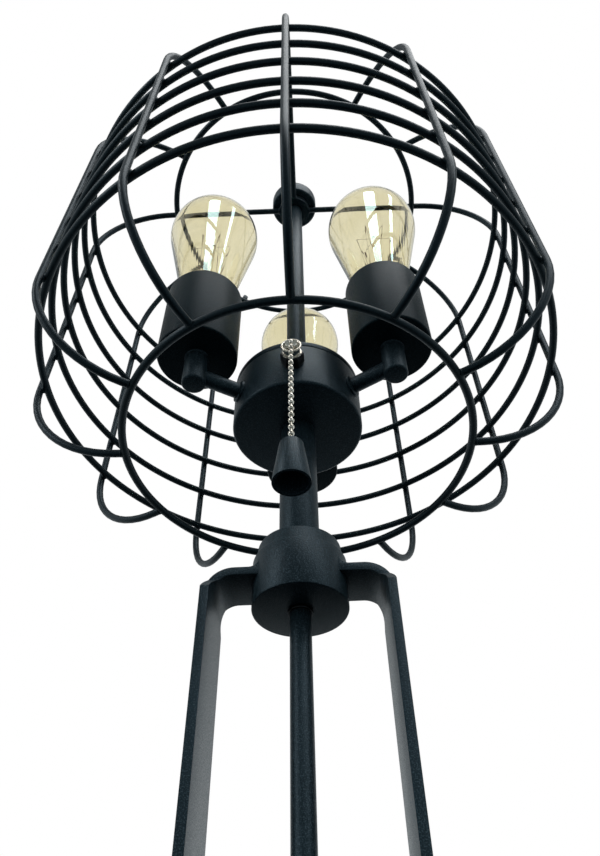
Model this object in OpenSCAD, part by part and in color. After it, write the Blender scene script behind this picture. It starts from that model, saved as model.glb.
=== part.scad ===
// Cage table lamp: a wire cage round three upright lamp holders, over a two-leg stand.
// Millimetres, +Z up, origin on the table under the lamp's axis. -Y is the pull switch's side.

/* [Base] */
// Diameter of the round base plate
base_d = 240; // [200:1:300]
// Thickness of the base plate
base_t = 10; // [9:0.5:16]
// Rounding of the base plate's upper edge
base_edge_r = 3; // [1:0.5:5]
// Thickness of the felt pad under the base plate
pad_t = 2; // [1:0.5:4]
// How far the felt pad stays inside the base plate's edge
pad_inset = 5; // [2:1:15]

/* [Legs] */
// Height of the collar's underside over the base plate
collar_lift = 232.2; // [150:0.2:400]
// Distance from the lamp's axis to a leg's outer face
leg_out = 43.5; // [40:0.5:60]
// Width of the flat bar
leg_w = 44; // [30:1:46]
// Width to which the bar narrows for its arm
leg_arm_w = 25.4; // [20:0.2:28]
// Thickness of the flat bar
leg_t = 4; // [3:0.25:6]
// How far the bar's upper face lies below the collar's shoulder
leg_drop = 9.1; // [5:0.1:12]
// Height of the wide bar's corners over the collar's underside
leg_corner = 0.9; // [0:0.1:4]
// Radius of the weld between an arm's upper face and the collar
leg_weld_r = 4; // [2:0.5:5]
// Radius inside the upper bend
leg_bend_r = 9.4; // [6:0.2:12]
// Distance from the lamp's axis to a bar's end inside the collar
leg_in = 12; // [11:0.5:16]
// Length of a foot past its leg
foot_l = 30; // [24:1:50]
// Radius inside the foot's bend
foot_bend_r = 5; // [2:0.5:8]
// Distance between a foot's two screws
screw_pitch = 24; // [14:1:28]
// Diameter of the foot screws
screw_d = 5; // [4:0.5:5.5]
// Diameter of their heads
screw_head_d = 9; // [8:0.5:10]
// Height of their heads
screw_head_h = 2.8; // [2:0.2:4]
// Depth of the screws in the base plate
screw_deep = 6; // [4:0.5:8]

/* [Collar and stem] */
// Diameter of the collar
collar_d = 45.4; // [42:0.2:60]
// Height of the collar up to its shoulder
collar_h = 26; // [22:0.5:40]
// Diameter of the collar's upper step
step_d = 40.8; // [34:0.2:42]
// Height of the collar's upper step
step_h = 8.2; // [6:0.2:14]
// Diameter of the lower rod
rod_d = 10; // [8:0.5:12]
// Diameter of the wire way through the lower rod
rod_bore = 7; // [4:0.5:7]
// Diameter of the ferrule where the rod enters the collar
ferrule_d = 12; // [11.5:0.5:18]
// Height of that ferrule
ferrule_h = 1.6; // [1:0.1:5]
// Diameter of the stem tube
stem_d = 20.2; // [16:0.2:26]
// Wall of the stem tube
stem_wall = 1.5; // [1:0.25:2.5]
// Length of the stem between the collar and the cluster body
stem_l = 86.6; // [70:0.2:160]
// How deep the stem and the lower rod seat in the collar
seat_l = 13; // [8:0.5:14]

/* [Cluster body] */
// Diameter of the cluster body
cluster_d = 75; // [70:0.2:84]
// Height of the cluster body without its lid
cluster_h = 33; // [30:0.2:40]
// Wall of the cluster body
cluster_wall = 1.4; // [1:0.1:2]
// Rounding of the cluster body's lower edge
cluster_edge_r = 1.6; // [0.5:0.1:3]
// Thickness of the lid
lid_t = 3.8; // [2:0.2:6]
// Height of the dark groove under the lid
lid_groove = 0.4; // [0.2:0.1:1]
// Depth of the groove under the lid
lid_groove_deep = 0.7; // [0.3:0.1:0.8]
// Depth of the lid's spigot inside the body
lid_spigot = 2; // [1:0.5:3]
// Diameter of the threaded necks of the stem and the centre tube
neck_d = 10; // [8:0.5:11]
// Length of those necks past the sheet that they hold
neck_l = 8; // [6:0.5:9]
// Width across the flats of the nuts on the necks and the lower rod
nut_af = 16; // [15:0.5:18]
// Thickness of those nuts
nut_t = 5; // [3:0.5:5.5]
// Width across the flats of the nuts on the arms
arm_nut_af = 13; // [12:0.5:15]
// Thickness of the nuts on the arms
arm_nut_t = 3; // [2:0.5:4]

/* [Pull switch] */
// Height of the switch's axis over the arms' axis
switch_lift = 1; // [0:0.5:3]
// Turn of the switch round the lamp's axis, from the front
switch_turn = -1; // [-10:0.5:10]
// Diameter of the switch housing inside the body
switch_d = 18; // [14:0.5:19]
// Length of the switch housing
switch_l = 17; // [12:0.5:18]
// Diameter of the switch's threaded neck
switch_neck_d = 9.2; // [8:0.2:10]
// Diameter of the chain's way through the neck and the mouth
switch_bore = 4.6; // [4.2:0.1:5]
// Width across the flats of the switch nut
switch_nut_af = 11.8; // [11.4:0.2:14]
// Thickness of the switch nut
switch_nut_t = 6.5; // [4:0.5:8]
// Diameter of the bell mouth's rim
mouth_d = 11.8; // [10.5:0.1:14]
// Diameter of the bell mouth's foot
mouth_foot_d = 10.6; // [9:0.1:11.2]
// Length of the bell mouth
mouth_l = 5.8; // [4:0.2:7]
// Diameter of a chain bead
bead_d = 3.2; // [2.6:0.1:3.4]
// Distance between chain beads
bead_pitch = 4.6; // [4.3:0.1:5]
// Diameter of the chain's wire
link_d = 1; // [0.6:0.1:1.4]
// Number of beads on the hanging chain
bead_n = 18; // [8:1:20]
// Number of beads in the chain's head, inside the mouth
head_n = 2; // [1:1:3]
// Height of the pull
pull_h = 25.6; // [20:0.2:30]
// Diameter of the pull at its open foot
pull_d = 18.2; // [16:0.2:24]
// Diameter of the pull at its shoulder
pull_top_d = 11.8; // [10:0.2:13]
// Rounding of the pull's shoulder
pull_edge_r = 1.6; // [0.5:0.1:2.4]
// Wall of the pull
pull_wall = 1.4; // [0.8:0.1:2]
// Thickness of the pull's roof round the chain
pull_roof = 0.9; // [0.7:0.1:1]

/* [Lamp holders] */
// Distance from the lamp's axis to a lamp holder's axis
arm_reach = 65.5; // [64:0.5:75]
// Diameter of an arm tube
arm_d = 9.25; // [8:0.25:10]
// Wall of an arm tube
arm_wall = 1; // [0.75:0.25:1.5]
// Diameter of the rosette where an arm leaves the body
rosette_d = 13; // [12:0.2:16]
// Thickness of the rosette
rosette_t = 1.6; // [1:0.1:3]
// Diameter of the knuckle under a cup
knuckle_d = 13.6; // [12:0.2:18]
// Height of the knuckle above the arm's axis
knuckle_up = 14.6; // [9:0.2:16]
// Height of the knuckle below the arm's axis
knuckle_down = 8.8; // [7:0.2:12]
// Diameter of the knuckle's spigot through the cup's floor
spigot_d = 10; // [8:0.5:11]
// Height of that spigot
spigot_h = 9; // [5:0.5:14]
// Diameter of a cup
cup_d = 47; // [46:0.2:54]
// Height of a cup
cup_h = 60.2; // [56:0.2:62]
// Wall of a cup
cup_wall = 1.5; // [1:0.1:1.8]
// Rounding of a cup's lower edge
cup_edge_r = 1.2; // [0.5:0.1:1.4]
// How far the insulator stays below the cup's rim
holder_drop = 8; // [6:0.5:12]
// Diameter of the insulator
holder_d = 40; // [34:0.5:42]
// Height of the centre contact over the cup's underside
contact_h = 29.4; // [24:0.2:32]
// Thickness of the centre contact
contact_t = 1.2; // [0.8:0.1:2]
// Wall of the lamp holder's screw shell
shell_wall = 0.6; // [0.4:0.1:1]

/* [Bulb] */
// Outer diameter of the screw cap
cap_d = 26.2; // [25.6:0.1:26.6]
// Length of the screw cap's metal shell
cap_l = 19; // [17:0.5:21]
// Sheet thickness of the screw cap
cap_wall = 0.5; // [0.3:0.1:0.8]
// Height of the cap's insulating foot with its contact
cap_foot_h = 5.4; // [4:0.2:7]
// Diameter of the foot where it leaves the cap
cap_foot_d = 20; // [17:0.5:22]
// Diameter of the end contact
cap_tip_d = 9.6; // [8:0.2:12]
// Height of the end contact
cap_tip_h = 1.4; // [1:0.1:2]
// Greatest diameter of the glass
bulb_d = 62; // [58:0.5:66]
// Length of the bulb with its cap
bulb_l = 143.4; // [134:0.2:146]
// Diameter of the glass neck over the cap
bulb_neck_d = 29; // [28:0.5:32]
// Height over which the glass widens from the cap to its neck
bulb_shoulder_h = 3; // [2:0.5:6]
// Depth of the glass inside the cap
bulb_seat = 5; // [3:0.5:8]
// Wall of the glass
glass_t = 1; // [0.8:0.1:1.4]
// Height of the filament's lower hooks over the cap
filament_low = 28; // [24:1:36]
// Length of the filament between its hooks
filament_l = 48; // [34:1:52]
// Radius of the lower hooks' ring
filament_low_r = 6; // [4:0.5:8]
// Radius of the upper hooks' ring
filament_top_r = 12; // [8:0.5:15]
// Number of filament strands
strand_n = 8; // [6:2:12]
// Diameter of a strand
strand_d = 0.5; // [0.4:0.1:0.8]
// Diameter of the glass rod that carries the hooks
bulb_rod_d = 3.4; // [2.6:0.2:4.4]

/* [Cage] */
// Diameter of the cage wire
wire_d = 4.5; // [3.5:0.25:5]
// Radius of the hoops, to the middle of the wire
hoop_r = 157; // [150:1:190]
// Distance between hoops
hoop_pitch = 34.25; // [28:0.25:34.5]
// Distance from the spokes down to the highest hoop
hoop_drop = 59; // [54:0.5:64]
// Height of the cage between the spokes and the mouth ring
cage_h = 290; // [280:0.2:330]
// Radius of both bends of a rib
rib_bend_r = 57.5; // [40:0.5:58]
// Radius of the crown ring under the spokes
crown_r = 99; // [80:1:103]
// Radius of the mouth ring at the cage's foot
mouth_ring_r = 98.4; // [80:0.2:101]
// Turn of the cage round the lamp's axis, against the stand
cage_turn = 1; // [-15:0.5:15]
// How far welded wires sink into each other
weld = 0.1; // [0.05:0.05:0.2]

/* [Hub] */
// Diameter of the centre tube
tube_d = 12.5; // [11.5:0.25:16]
// Wall of the centre tube
tube_wall = 1.5; // [1:0.25:2.5]
// Length of the centre tube, from the lid to the hub disc
tube_l = 237.4; // [226:0.2:280]
// Diameter of the hub disc
hub_d = 25.2; // [20:0.2:32]
// Thickness of the hub disc
hub_t = 5.2; // [5:0.1:8]
// Diameter of the finial
finial_d = 36.6; // [28:0.2:50]
// Height of the finial
finial_h = 13.4; // [11:0.2:20]
// Rounding of the finial's upper edge
finial_edge_r = 1.4; // [0.5:0.1:3]

/* [Hidden] */
$fn = 72;
// Gap round a seated or threaded piece
seat_gap = 0.05;
// Gap between curved faces that move past each other
run_gap = 0.3;
// Small rounding of sheet edges
edge_r = 0.4;
// How far a cutting shape runs past a face
past = 1;
// Heights over the table
base_top = pad_t + base_t;
collar_z = base_top + collar_lift;
shoulder_z = collar_z + collar_h;
collar_top = shoulder_z + step_h;
cluster_z = collar_top + stem_l;
cluster_top = cluster_z + cluster_h;
lid_z = cluster_top + lid_groove;
lid_top = lid_z + lid_t;
hub_z = lid_top + tube_l;
hub_top = hub_z + hub_t;
spoke_z = hub_z + hub_t / 2;
mouth_ring_z = spoke_z - cage_h;
arm_z = cluster_z + cluster_h / 2;
cup_z = arm_z + knuckle_up;
cup_top = cup_z + cup_h;
tip_z = cup_z + contact_h;
// Base
nut_corner_r = nut_af / 2 / cos(30);
recess_r = nut_corner_r + 3;
recess_h = nut_t + 1;
// Legs
leg_top = shoulder_z - leg_drop;
screw_x = leg_out + (foot_l + foot_bend_r) / 2;
foot_top = base_top + leg_t;
// Cluster
cluster_r = cluster_d / 2;
bay_r = cluster_r - cluster_wall;
// Pull switch
mouth_y = cluster_r + switch_nut_t;
switch_z = arm_z + switch_lift;
bead_r = bead_d / 2;
chain_y = mouth_y + mouth_l + run_gap + bead_r;
switch_y = sqrt(pow(bay_r, 2) - pow(switch_d / 2, 2)) - seat_gap;
last_bead_z = switch_z - bead_n * bead_pitch;
pull_hole_r = link_d / 2 + seat_gap;
pull_top = last_bead_z + sqrt(pow(bead_r, 2) - pow(pull_hole_r, 2)) + pull_roof;
pull_z = pull_top - pull_h;
// Lamp holders
arm_r = arm_d / 2;
shell_in = cap_d / 2 + run_gap;
shell_out = shell_in + shell_wall;
holder_top = cup_top - holder_drop;
// Bulb
cap_z = tip_z + cap_foot_h;
cap_top = cap_z + cap_l;
globe_r = bulb_d / 2;
globe_z = tip_z + bulb_l - globe_r;
neck_r = bulb_neck_d / 2;
neck_z = cap_top + bulb_shoulder_h;
flare = asin(globe_r / norm([neck_r, globe_z - neck_z])) - atan(neck_r / (globe_z - neck_z));
root_r = cap_d / 2 - cap_wall - seat_gap;
// Cage
wire_r = wire_d / 2;
rib_r = hoop_r + wire_d - weld;
bend_x = rib_r - rib_bend_r;
// Angles of the four long ribs, from the right round to the front
front = 270 + cage_turn;
right = cage_turn;
back = 90 + cage_turn;
left = 180 + cage_turn;

// Points of an arc round c, from angle a0 to angle a1
function arc(c, r, a0, a1, n = 8) = [for (i = [0:n]) let (a = a0 + (a1 - a0) * i / n) c + r * [cos(a), sin(a)]];
// Azimuth of each lamp holder's arm
back_angle = 90;
left_angle = 210;
right_angle = 330;
arm_angles = [back_angle, left_angle, right_angle];

// Hexagonal nut standing on z = 0
module nut(across, h, bore) {
    difference() {
        cylinder(d = across / cos(30), h = h, $fn = 6);
        translate([0, 0, -past]) cylinder(d = bore, h = h + 2 * past);
    }
}

// Tube standing on z = 0
module tube(d, wall, h) {
    difference() {
        cylinder(d = d, h = h);
        translate([0, 0, -past]) cylinder(d = d - 2 * wall, h = h + 2 * past);
    }
}

// Round bar from point p to point q
module bar(p, q, d) {
    v = q - p;
    translate(p) rotate([0, acos(v.z / norm(v)), atan2(v.y, v.x)]) cylinder(d = d, h = norm(v));
}

// Children at a lamp holder's axis
module at_holder(angle) {
    rotate(angle) translate([arm_reach, 0, 0]) children();
}

// Children with +Z turned out along -Y, at the pull switch's axis
module at_switch(y) {
    rotate(switch_turn) translate([0, -y, switch_z]) rotate([90, 0, 0]) children();
}

// Children at the hanging chain's axis
module at_chain() {
    rotate(switch_turn) translate([0, -chain_y, 0]) children();
}

// Places of the foot screws
module at_screws(side) {
    for (y = [-1, 1]) translate([side * screw_x, y * screw_pitch / 2, 0]) children();
}

module base_plate() {
    color("#1b1c1e") difference() {
        rotate_extrude() polygon(concat(
            [[0, pad_t], [base_d / 2, pad_t]],
            arc([base_d / 2 - base_edge_r, base_top - base_edge_r], base_edge_r, 0, 90),
            [[0, base_top]]));
        translate([0, 0, pad_t - past]) cylinder(r = recess_r, h = recess_h + past);
        cylinder(d = rod_d + 2 * seat_gap, h = base_top + past);
        for (side = [-1, 1]) at_screws(side)
            translate([0, 0, base_top - screw_deep]) cylinder(d = screw_d + 2 * seat_gap, h = screw_deep + past);
    }
}

module base_pad() {
    color("#26272a") cylinder(r = base_d / 2 - pad_inset, h = pad_t);
}

// Flat bar bent down from the collar and out into a foot, narrowed from its upper bend to the collar
module leg(side) {
    bend = [leg_out - leg_t - leg_bend_r, leg_top - leg_t - leg_bend_r];
    foot_bend = [leg_out + foot_bend_r, foot_top + foot_bend_r];
    weld_x = collar_d / 2 + seat_gap;
    corner_z = collar_z + leg_corner;
    narrow_z = corner_z + (leg_w - leg_arm_w) / 2;
    side_view = concat(
        [[leg_in, leg_top - leg_t], [leg_in, leg_top]],
        arc(bend, leg_bend_r + leg_t, 90, 0),
        arc(foot_bend, foot_bend_r, 180, 270),
        [[leg_out + foot_l, foot_top], [leg_out + foot_l, base_top]],
        arc(foot_bend, foot_bend_r + leg_t, 270, 180),
        arc(bend, leg_bend_r, 0, 90));
    end_view = [[-leg_w / 2, 0], [leg_w / 2, 0], [leg_w / 2, corner_z], [leg_arm_w / 2, narrow_z],
        [leg_arm_w / 2, shoulder_z], [-leg_arm_w / 2, shoulder_z], [-leg_arm_w / 2, narrow_z],
        [-leg_w / 2, corner_z]];
    color("#1b1c1e") difference() {
        rotate(side > 0 ? 0 : 180) intersection() {
            union() {
                translate([0, leg_w / 2, 0]) rotate([90, 0, 0]) linear_extrude(leg_w) polygon(side_view);
                rotate_extrude() polygon(concat([[weld_x, leg_top - weld]],
                    arc([weld_x + leg_weld_r, leg_top + leg_weld_r], leg_weld_r, 270, 180)));
            }
            rotate([90, 0, 90]) linear_extrude(leg_out + foot_l) polygon(end_view);
        }
        at_screws(side) translate([0, 0, base_top - past])
            cylinder(d = screw_d + 2 * seat_gap, h = leg_t + 2 * past);
    }
}

module foot_screws() {
    color("#2a2b2e") for (side = [-1, 1]) at_screws(side) {
        translate([0, 0, base_top - screw_deep]) cylinder(d = screw_d, h = screw_deep + leg_t);
        translate([0, 0, foot_top]) rotate_extrude() polygon(concat(
            [[0, 0]],
            arc([screw_head_d / 2 - screw_head_h, 0], screw_head_h, 0, 90),
            [[0, screw_head_h]]));
    }
}

module lower_rod() {
    color("#1b1c1e") translate([0, 0, pad_t + seat_gap])
        tube(rod_d, (rod_d - rod_bore) / 2, collar_z + seat_l - pad_t - seat_gap);
}

module rod_nut() {
    color("#6f7175") translate([0, 0, pad_t + recess_h - nut_t]) nut(nut_af, nut_t, rod_d + 2 * seat_gap);
}

module rod_ferrule() {
    color("#141517") translate([0, 0, collar_z - ferrule_h])
        tube(ferrule_d, (ferrule_d - rod_d) / 2 - seat_gap, ferrule_h);
}

module leg_collar() {
    collar_r = collar_d / 2;
    color("#1b1c1e") difference() {
        rotate_extrude() polygon([[0, collar_z], [collar_r - edge_r, collar_z], [collar_r, collar_z + edge_r],
            [collar_r, shoulder_z - edge_r], [collar_r - edge_r, shoulder_z], [step_d / 2, shoulder_z],
            [step_d / 2, collar_top - edge_r], [step_d / 2 - edge_r, collar_top], [0, collar_top]]);
        for (side = [0, 180]) rotate(side) translate([leg_in, -leg_arm_w / 2, leg_top - leg_t])
            cube([collar_r, leg_arm_w, leg_t]);
        translate([0, 0, collar_z - past]) cylinder(d = rod_d + 2 * seat_gap, h = seat_l + past);
        translate([0, 0, collar_z]) cylinder(d = rod_bore, h = collar_h);
        translate([0, 0, collar_top - seat_l]) cylinder(d = stem_d + 2 * seat_gap, h = seat_l + past);
    }
}

// Tube whose narrow threaded neck goes up through the cluster body's floor
module stem_tube() {
    inner_r = stem_d / 2 - stem_wall;
    neck_in = neck_d / 2 - tube_wall;
    foot_z = collar_top - seat_l;
    neck_top = cluster_z + cluster_wall + neck_l;
    color("#1b1c1e") rotate_extrude() polygon([[inner_r, foot_z], [stem_d / 2, foot_z],
        [stem_d / 2, cluster_z], [neck_d / 2, cluster_z], [neck_d / 2, neck_top], [neck_in, neck_top],
        [neck_in, cluster_z - stem_wall], [inner_r, cluster_z - stem_wall]]);
}

module cluster_body() {
    edge = [cluster_r - cluster_edge_r, cluster_z + cluster_edge_r];
    floor_z = cluster_z + cluster_wall;
    color("#1b1c1e") difference() {
        rotate_extrude() polygon(concat(
            [[neck_d / 2 + seat_gap, cluster_z]],
            arc(edge, cluster_edge_r, 270, 360),
            [[cluster_r, cluster_top], [bay_r, cluster_top], [bay_r, floor_z],
                [neck_d / 2 + seat_gap, floor_z]]));
        for (a = arm_angles) rotate(a) translate([cluster_r / 2, 0, arm_z]) rotate([0, 90, 0])
            cylinder(d = arm_d + 2 * seat_gap, h = cluster_r);
        at_switch(cluster_r / 2) cylinder(d = switch_neck_d + 2 * seat_gap, h = cluster_r);
    }
}

// Lid with a dark groove under its rim, and a spigot that centres it in the body
module cluster_lid() {
    spigot_r = bay_r - seat_gap;
    spigot_z = cluster_top - lid_spigot;
    bore_r = neck_d / 2 + seat_gap;
    color("#1b1c1e") rotate_extrude() polygon([[bore_r, lid_z], [spigot_r - cluster_wall, lid_z],
        [spigot_r - cluster_wall, spigot_z], [spigot_r, spigot_z], [spigot_r, cluster_top],
        [cluster_r - lid_groove_deep, cluster_top], [cluster_r - lid_groove_deep, lid_z],
        [cluster_r, lid_z], [cluster_r, lid_top - edge_r], [cluster_r - edge_r, lid_top],
        [bore_r, lid_top]]);
}

// Nuts inside the body: on the stem's neck, on the centre tube's neck and on the three arms
module cluster_nuts() {
    bore = neck_d + 2 * seat_gap;
    arm_nut_x = sqrt(pow(bay_r, 2) - pow(arm_nut_af / 2 / cos(30), 2)) - arm_nut_t;
    color("#8a8c90") {
        translate([0, 0, cluster_z + cluster_wall]) nut(nut_af, nut_t, bore);
        translate([0, 0, lid_z - nut_t]) nut(nut_af, nut_t, bore);
        for (a = arm_angles) rotate(a) translate([arm_nut_x, 0, arm_z]) rotate([0, 90, 0])
            nut(arm_nut_af, arm_nut_t, arm_d + 2 * seat_gap);
    }
}

// Switch housing with its hollow neck through the body's wall
module switch_body() {
    color("#101113") difference() {
        union() {
            at_switch(switch_y - switch_l) cylinder(d = switch_d, h = switch_l);
            at_switch(switch_y - 1) cylinder(d = switch_neck_d, h = mouth_y - switch_y + 1);
        }
        at_switch(switch_y - switch_l + cluster_wall) cylinder(d = switch_bore, h = cluster_r);
    }
}

module switch_nut() {
    color("#141517") at_switch(cluster_r) nut(switch_nut_af, switch_nut_t, switch_neck_d + 2 * seat_gap);
}

// Trumpet mouth that the chain runs out of
module switch_mouth() {
    rim_r = mouth_d / 2;
    foot_r = mouth_foot_d / 2;
    lip = 0.7;
    throat = 1.2;
    flare_h = mouth_l - throat - lip;
    color("#b9b6ad") at_switch(mouth_y) rotate_extrude() polygon(concat(
        [[switch_bore / 2, 0], [foot_r, 0], [foot_r, throat]],
        [for (i = [0:6]) [foot_r - 0.5 + (rim_r - foot_r + 0.5) * pow(i / 6, 2), throat + flare_h * i / 6]],
        arc([rim_r - lip, mouth_l - lip], lip, 0, 180, 8),
        [for (i = [6:-1:0]) [switch_bore / 2 + (rim_r - 2 * lip - switch_bore / 2) * pow(i / 6, 2),
            throat + flare_h * i / 6]]));
}

// Beads of the chain from the switch to the bead over the mouth's lip
module chain_head() {
    inner_y = chain_y - head_n * bead_pitch;
    color("#c4c0b6") {
        for (i = [0:head_n]) at_switch(chain_y - i * bead_pitch) sphere(d = bead_d);
        at_switch(inner_y) cylinder(d = link_d, h = chain_y - inner_y);
    }
}

// Hanging beads, from under the lip to the bead inside the pull
module pull_chain() {
    color("#c4c0b6") at_chain() {
        for (i = [1:bead_n]) translate([0, 0, switch_z - i * bead_pitch]) sphere(d = bead_d);
        translate([0, 0, last_bead_z]) cylinder(d = link_d, h = switch_z - bead_r - run_gap - last_bead_z);
    }
}

// Open cone that hangs on the chain's last bead
module pull_cone() {
    foot_r = pull_d / 2;
    top_r = pull_top_d / 2;
    slant = atan((foot_r - top_r) / pull_h);
    edge = [top_r - pull_edge_r, pull_top - pull_edge_r];
    color("#1b1c1e") at_chain() rotate_extrude() polygon(concat(
        [[foot_r - pull_wall, pull_z], [foot_r, pull_z]],
        arc(edge, pull_edge_r, slant, 90),
        [[pull_hole_r, pull_top], [pull_hole_r, pull_top - pull_roof],
            [top_r - pull_wall, pull_top - pull_roof]]));
}

module arm_rosettes() {
    color("#1b1c1e") difference() {
        for (a = arm_angles) rotate(a) translate([cluster_r - rosette_t, 0, arm_z]) rotate([0, 90, 0])
            tube(rosette_d, (rosette_d - arm_d) / 2 - seat_gap, 2 * rosette_t);
        translate([0, 0, cluster_z]) cylinder(r = cluster_r, h = cluster_h, $fn = 360);
    }
}

// Arm tube from inside the body to the middle of a knuckle
module arm(angle) {
    start = bay_r - arm_nut_t - 2;
    color("#1b1c1e") rotate(angle) translate([start, 0, arm_z]) rotate([0, 90, 0])
        tube(arm_d, arm_wall, arm_reach - start);
}

// Knuckles under the cups, each with a spigot through the cup's floor
module arm_knuckles() {
    foot_z = arm_z - knuckle_down;
    color("#1b1c1e") for (a = arm_angles) difference() {
        at_holder(a) rotate_extrude() polygon([[0, foot_z], [knuckle_d / 2 - edge_r, foot_z],
            [knuckle_d / 2, foot_z + edge_r], [knuckle_d / 2, cup_z], [spigot_d / 2, cup_z],
            [spigot_d / 2, cup_z + spigot_h], [0, cup_z + spigot_h]]);
        rotate(a) translate([arm_reach - knuckle_d, 0, arm_z]) rotate([0, 90, 0])
            cylinder(d = arm_d + 2 * seat_gap, h = knuckle_d);
    }
}

// Straight cup with a flat floor and a small rounded rim
module cup(angle) {
    cup_r = cup_d / 2;
    inner_r = cup_r - cup_wall;
    bore_r = spigot_d / 2 + seat_gap;
    floor_z = cup_z + cup_wall;
    rim = [cup_r - cup_wall / 2, cup_top - cup_wall / 2];
    color("#1b1c1e") at_holder(angle) rotate_extrude() polygon(concat(
        [[bore_r, cup_z]],
        arc([cup_r - cup_edge_r, cup_z + cup_edge_r], cup_edge_r, 270, 360),
        arc(rim, cup_wall / 2, 0, 180),
        [[inner_r, floor_z], [bore_r, floor_z]]));
}

// Insulators on the cups' floors, each with a bore for the screw shell
module holder_insulators() {
    floor_z = cup_z + cup_wall;
    bore_z = tip_z - contact_t;
    bore_r = shell_out + seat_gap;
    color("#e9e4d8") for (a = arm_angles) at_holder(a) difference() {
        translate([0, 0, floor_z]) cylinder(d = holder_d, h = holder_top - floor_z);
        translate([0, 0, bore_z]) cylinder(r = bore_r, h = holder_top - bore_z + past);
        translate([0, 0, floor_z - past])
            cylinder(d = spigot_d + 2 * seat_gap, h = spigot_h - cup_wall + 2 * past);
    }
}

// Screw shells and centre contacts
module holder_contacts() {
    shell_z = tip_z - contact_t;
    color("#b08d4a") for (a = arm_angles) at_holder(a) {
        translate([0, 0, shell_z]) tube(2 * shell_out, shell_wall, holder_top - edge_r - shell_z);
        translate([0, 0, shell_z]) cylinder(d = cap_tip_d, h = contact_t);
    }
}

// Half outline of the glass, drawn in by t
function glass_line(t) = concat(
    [[root_r - t, cap_top - bulb_seat], [root_r - t, cap_top], [neck_r - t, neck_z]],
    arc([0, globe_z], globe_r - t, -flare, 90, 24));
function reversed(v) = [for (i = [len(v) - 1:-1:0]) v[i]];

module bulb_glass(angle) {
    color("#c89a4a", 0.45) at_holder(angle) rotate_extrude()
        polygon(concat(glass_line(0), reversed(glass_line(glass_t))));
}

module bulb_cap(angle) {
    cap_r = cap_d / 2;
    foot_r = cap_foot_d / 2;
    slope_h = cap_r - foot_r;
    color("#b8944c") at_holder(angle) rotate_extrude() polygon([[foot_r - cap_wall, cap_z], [foot_r, cap_z],
        [cap_r, cap_z + slope_h], [cap_r, cap_top], [cap_r - cap_wall, cap_top],
        [cap_r - cap_wall, cap_z + slope_h]]);
}

// Insulating foot of the cap with the end contact
module bulb_foot(angle) {
    tip_r = cap_tip_d / 2;
    plug_h = 2;
    color("#2b2118") at_holder(angle) rotate_extrude() polygon([[0, tip_z], [tip_r - edge_r, tip_z],
        [tip_r, tip_z + cap_tip_h], [cap_foot_d / 2 - edge_r, cap_z], [cap_foot_d / 2 - cap_wall - run_gap, cap_z],
        [cap_foot_d / 2 - cap_wall - run_gap, cap_z + plug_h], [0, cap_z + plug_h]]);
}

// Glass stem and rod with the hooks and the filament strands
module bulb_mount(angle) {
    low_z = cap_top + filament_low;
    high_z = low_z + filament_l;
    seal_z = cap_top - bulb_seat;
    seal_r = root_r - glass_t - seat_gap;
    rod_r = bulb_rod_d / 2;
    hook_gap = 6;
    stem_h = filament_low - hook_gap;
    color("#d9b36c") at_holder(angle) {
        rotate_extrude() polygon([[0, seal_z], [seal_r, seal_z], [seal_r, seal_z + glass_t],
            [2.2 * rod_r, cap_top + 3], [1.6 * rod_r, cap_top + stem_h], [rod_r, cap_top + stem_h + 3],
            [rod_r, high_z + rod_r], [0, high_z + rod_r]]);
        for (i = [0:strand_n - 1]) {
            a = 360 * i / strand_n;
            way = [cos(a), sin(a), 0];
            low = filament_low_r * way + [0, 0, low_z];
            high = filament_top_r * way + [0, 0, high_z];
            bar(rod_r / 2 * way + [0, 0, low_z], low, strand_d);
            bar(rod_r / 2 * way + [0, 0, high_z], high, strand_d);
            bar(low, high, strand_d);
            for (p = [low, high]) translate(p) sphere(r = strand_d);
        }
    }
}

// Tube whose threaded necks pass down through the lid and up through the hub disc into the finial
module centre_tube() {
    neck_r = neck_d / 2;
    color("#1b1c1e") difference() {
        union() {
            translate([0, 0, lid_top]) cylinder(d = tube_d, h = tube_l);
            translate([0, 0, lid_z - neck_l]) cylinder(r = neck_r, h = hub_top + neck_l - lid_z + neck_l);
        }
        translate([0, 0, lid_z - neck_l - past]) cylinder(r = neck_r - tube_wall, h = tube_l);
    }
}

module hub_disc() {
    color("#1b1c1e") translate([0, 0, hub_z]) tube(hub_d, (hub_d - neck_d) / 2 - seat_gap, hub_t);
}

module finial() {
    bore_r = neck_d / 2 + seat_gap;
    bore_top = hub_top + neck_l + edge_r;
    top_z = hub_top + finial_h;
    color("#1b1c1e") rotate_extrude() polygon(concat(
        [[bore_r, hub_top], [finial_d / 2 - edge_r, hub_top], [finial_d / 2, hub_top + edge_r]],
        arc([finial_d / 2 - finial_edge_r, top_z - finial_edge_r], finial_edge_r, 0, 90),
        [[0, top_z], [0, bore_top], [bore_r, bore_top]]));
}

module ring(r, z) {
    color("#1b1c1e") translate([0, 0, z]) rotate_extrude() translate([r, 0]) circle(r = wire_r);
}

// Hoops are counted from the lowest
module hoop(i) {
    ring(hoop_r, spoke_z - hoop_drop - (6 - i) * hoop_pitch);
}

// One quarter bend of a rib, from its vertical to its level stretch
module rib_bend() {
    rotate([90, 0, 0]) rotate_extrude(angle = 90) translate([rib_bend_r, 0]) circle(r = wire_r);
}

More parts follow.
